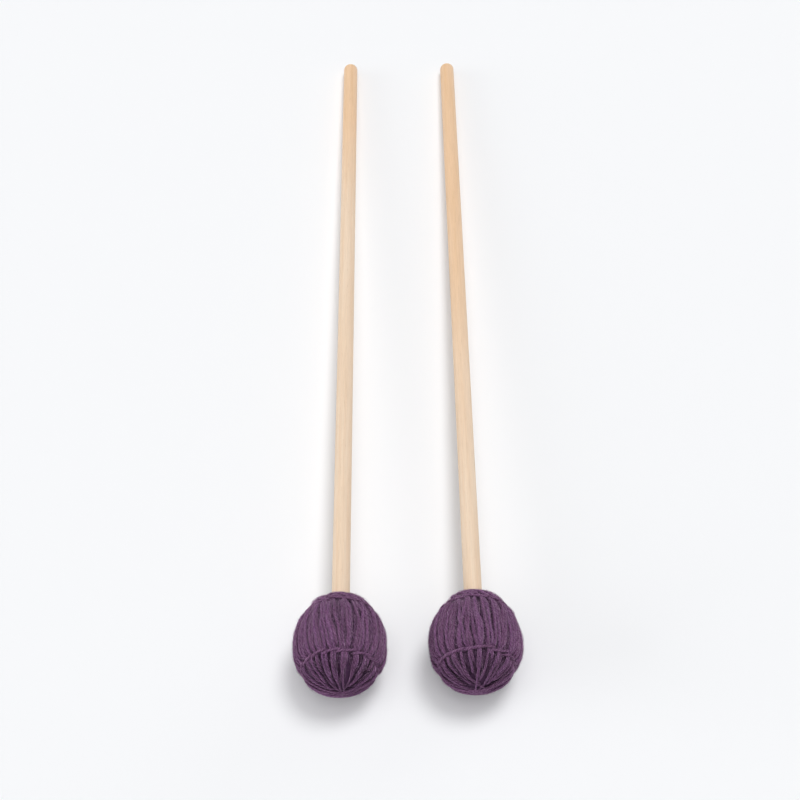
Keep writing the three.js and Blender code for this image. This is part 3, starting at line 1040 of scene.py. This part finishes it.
# %% Streaks, as a node group
def make_streaks():
    group = bpy.data.node_groups.new("streaks", "ShaderNodeTree")
    group.interface.new_socket("Vector", in_out="INPUT", socket_type="NodeSocketVector")
    for name in ("Across", "Along", "Detail"):
        group.interface.new_socket(name, in_out="INPUT", socket_type="NodeSocketFloat")
    group.interface.new_socket("Streak", in_out="OUTPUT", socket_type="NodeSocketFloat")
    given = group.nodes.new("NodeGroupInput").outputs
    scale = add_node(group, "CombineXYZ", {
        "X": given["Across"], "Y": given["Across"], "Z": given["Along"]})
    stretch = add_node(group, "VectorMath", {
        0: given["Vector"], 1: scale.outputs[0]}, operation="MULTIPLY")
    noise = add_node(group, "TexNoise", {
        "Vector": stretch.outputs[0], "Scale": 1.0, "Detail": given["Detail"]})
    made = group.nodes.new("NodeGroupOutput")
    group.links.new(noise.outputs["Fac"], made.inputs["Streak"])
    return group


streaks = make_streaks()


def add_streaks(tree, vector, across, along, detail=3.0):
    group = tree.nodes.new("ShaderNodeGroup")
    group.node_tree = streaks
    fill_inputs(tree, group, {"Vector": vector, "Across": across, "Along": along, "Detail": detail})
    return group.outputs["Streak"]


print("group", streaks.name)

# %% [markdown]
# Every material here makes its colour by mixing two colours by a share, several times over. The
# share is a noise or an attribute, with its range stretched first.


# %% Helpers for materials
def new_material(name):
    material = bpy.data.materials.new(name)
    material.use_nodes = True
    return material, material.node_tree, material.node_tree.nodes["Principled BSDF"]


def attribute(tree, name, output="Fac"):
    return add_node(tree, "Attribute", attribute_name=name).outputs[output]


def stretched(tree, value, start, end, to_start=0.0, to_end=1.0):
    """The value, with start to end stretched to two other numbers."""
    node = add_node(tree, "MapRange", {
        "Value": value, "From Min": start, "From Max": end, "To Min": to_start, "To Max": to_end})
    return node.outputs["Result"]


def mixed_colour(tree, share, one, other):
    """The first colour where the share is 0, and the second where it is 1."""
    node = add_node(tree, "Mix", {"Factor": share, "A": one, "B": other}, data_type="RGBA")
    return node.outputs["Result"]


print("materials so far", len(bpy.data.materials))

# %% [markdown]
# The yarn is one purple, but no two strands show quite the same one. Each strand leans a little to
# red or to blue, and along it run the streaks of its fibres. The colour darkens with the depth that
# each point stores: that is painted shade, for the valleys between and under the strands, where fuzz
# and the strands above keep light out. A sheen stands for the finest fuzz on top, which catches the
# light where a strand turns away. The body gets a darker copy of the yarn, as painted shade, and the
# loose fibres a lighter one, as painted light for the light that shines through them.

# %% Yarn
# Painted shade: at the greatest stored depth, the colour goes this share of the way to DARKEST.
SHADE = 0.76
BROAD_SHARE = 2.2
DARKEST = srgb(30, 16, 30)


def yarn_material(name, dark, light, bump=0.5, sheen=1.0):
    material, tree, shader = new_material(name)
    fibre = attribute(tree, "fibre", "Vector")
    tone = attribute(tree, "tone")
    fine = add_streaks(tree, fibre, 4.5, 1.1)
    broad = add_streaks(tree, fibre, 0.9, 0.8, 2.0)
    light_share = add_node(tree, "Math", {
        0: broad, 1: BROAD_SHARE, 2: stretched(tree, fine, 0.34, 0.66, -0.95, -0.15)},
        operation="MULTIPLY_ADD")
    purple = mixed_colour(tree, light_share.outputs[0], dark, light)
    own = add_node(tree, "HueSaturation", {
        "Color": purple,
        "Hue": stretched(tree, tone, 0.0, 1.0, 0.489, 0.511),
        "Value": stretched(tree, tone, 0.0, 1.0, 1.08, 0.92)})
    # Painted shade: the colour darkens with the depth stored as sunk.
    shade = stretched(tree, attribute(tree, "sunk"), 0.1, 3.0, 0.0, SHADE)
    relief = add_node(tree, "Bump", {"Height": fine, "Strength": bump, "Distance": 0.2 * MM})
    fill_inputs(tree, shader, {
        "Base Color": mixed_colour(tree, shade, own.outputs["Color"], DARKEST),
        "Normal": relief.outputs[0], "Roughness": 0.95, "Specular IOR Level": 0.15,
        "Sheen Weight": sheen, "Sheen Roughness": 0.3, "Sheen Tint": srgb(225, 188, 223)})
    return material


top_yarn = yarn_material("purple_yarn", srgb(100, 62, 99), srgb(154, 109, 152))
# A darker copy of the yarn with little sheen: painted shade for the body deep below the strands.
shaded_deep_yarn = yarn_material("purple_yarn_deep_shaded", srgb(60, 36, 60), srgb(92, 60, 92), sheen=0.1)
sewing_yarn = yarn_material("purple_sewing_yarn", srgb(98, 63, 97), srgb(150, 108, 146))
# A lighter copy of the yarn: painted light for the light that shines through thin fibres.
loose_yarn_painted_light = yarn_material("purple_fibres_painted_light", srgb(140, 102, 137), srgb(182, 142, 178), bump=0.0)
print("yarn materials", top_yarn.name, shaded_deep_yarn.name, sewing_yarn.name, loose_yarn_painted_light.name)

# %% [markdown]
# Birch is pale and close-grained. Broad bands of tone and fine lines of grain run along the stick,
# small pores make short dark flecks, and the wood turns warmer towards the butt, as the attribute on
# its points says.


# %% Birch
def birch_material():
    material, tree, shader = new_material("sanded_birch")
    place = add_node(tree, "TexCoord").outputs["Object"]
    turned = add_node(tree, "Mapping", {
        "Vector": place, "Rotation": (dip + math.radians(90), 0, 0), "Scale": (1 / MM,) * 3})
    bands = add_streaks(tree, turned.outputs[0], 0.5, 0.012)
    grain = add_streaks(tree, turned.outputs[0], 6.0, 0.1, 5.0)
    pores = add_streaks(tree, turned.outputs[0], 4.5, 0.25, 2.0)
    tone = stretched(tree, bands, 0.3, 0.7)
    pale = mixed_colour(tree, tone, srgb(231, 203, 174), srgb(238, 216, 192))
    rich = mixed_colour(tree, tone, srgb(228, 190, 150), srgb(236, 202, 168))
    lined = add_node(tree, "HueSaturation", {
        "Color": mixed_colour(tree, attribute(tree, "warm"), pale, rich),
        "Value": stretched(tree, grain, 0.35, 0.65, 0.94, 1.05)})
    fleck = stretched(tree, pores, 0.64, 0.74, 0.0, 0.4)
    relief = add_node(tree, "Bump", {"Height": grain, "Strength": 0.15, "Distance": 0.1 * MM})
    fill_inputs(tree, shader, {
        "Base Color": mixed_colour(tree, fleck, lined.outputs["Color"], srgb(204, 162, 122)),
        "Normal": relief.outputs[0], "Roughness": 0.5, "Specular IOR Level": 0.3})
    return material


birch = birch_material()
print("wood", birch.name)

# %% [markdown]
# The core is a ball of moulded rubber, dark and matt, with a faint mottle. It is never seen, but the
# node of the frame that holds it stays in place, so it gets a finish too.


# %% Rubber
def rubber_material():
    material, tree, shader = new_material("core_rubber")
    noise = add_node(tree, "TexNoise", {
        "Vector": add_node(tree, "TexCoord").outputs["Object"], "Scale": 900.0})
    fill_inputs(tree, shader, {
        "Base Color": mixed_colour(tree, noise.outputs["Fac"], srgb(50, 48, 48), srgb(66, 63, 63)),
        "Roughness": 0.8})
    return material


rubber = rubber_material()
print("core", rubber.name)

# %% [markdown]
# Last, every piece gets its material and rides on the mallet that it belongs to, and the piece of the
# frame that it stands for, if it has one, is hidden. The core stays as it is, deep inside, in its own
# rubber.

# %% Dress the frame
for side in SIDES:
    dressed = (
        (windings[side, "over"], top_yarn, "outer_yarn", f"{side}_outer_yarn"),
        (windings[side, "under"], top_yarn, "outer_yarn", None),
        (fuzz[side], loose_yarn_painted_light, "outer_yarn", None),
        (windings[side, "base"], top_yarn, "inner_yarn", None),
        (bodies[side], shaded_deep_yarn, "inner_yarn", f"{side}_inner_yarn"),
        (stitches[side, "tip"], sewing_yarn, "stitch_yarn", f"{side}_tip_stitch"),
        (stitches[side, "neck"], sewing_yarn, "stitch_yarn", f"{side}_neck_stitch"),
        (sticks[side], birch, "birch", f"{side}_shaft"),
    )
    for piece, material, slot, node in dressed:
        piece.data.materials.clear()
        piece.data.materials.append(material)
        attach(piece, f"{side}_mallet")
        if node:
            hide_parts(node)
    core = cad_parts[f"{side}_core"]
    core.data.materials.clear()
    core.data.materials.append(rubber)
    print(side, "mallet has", len(dressed) + 1, "pieces")
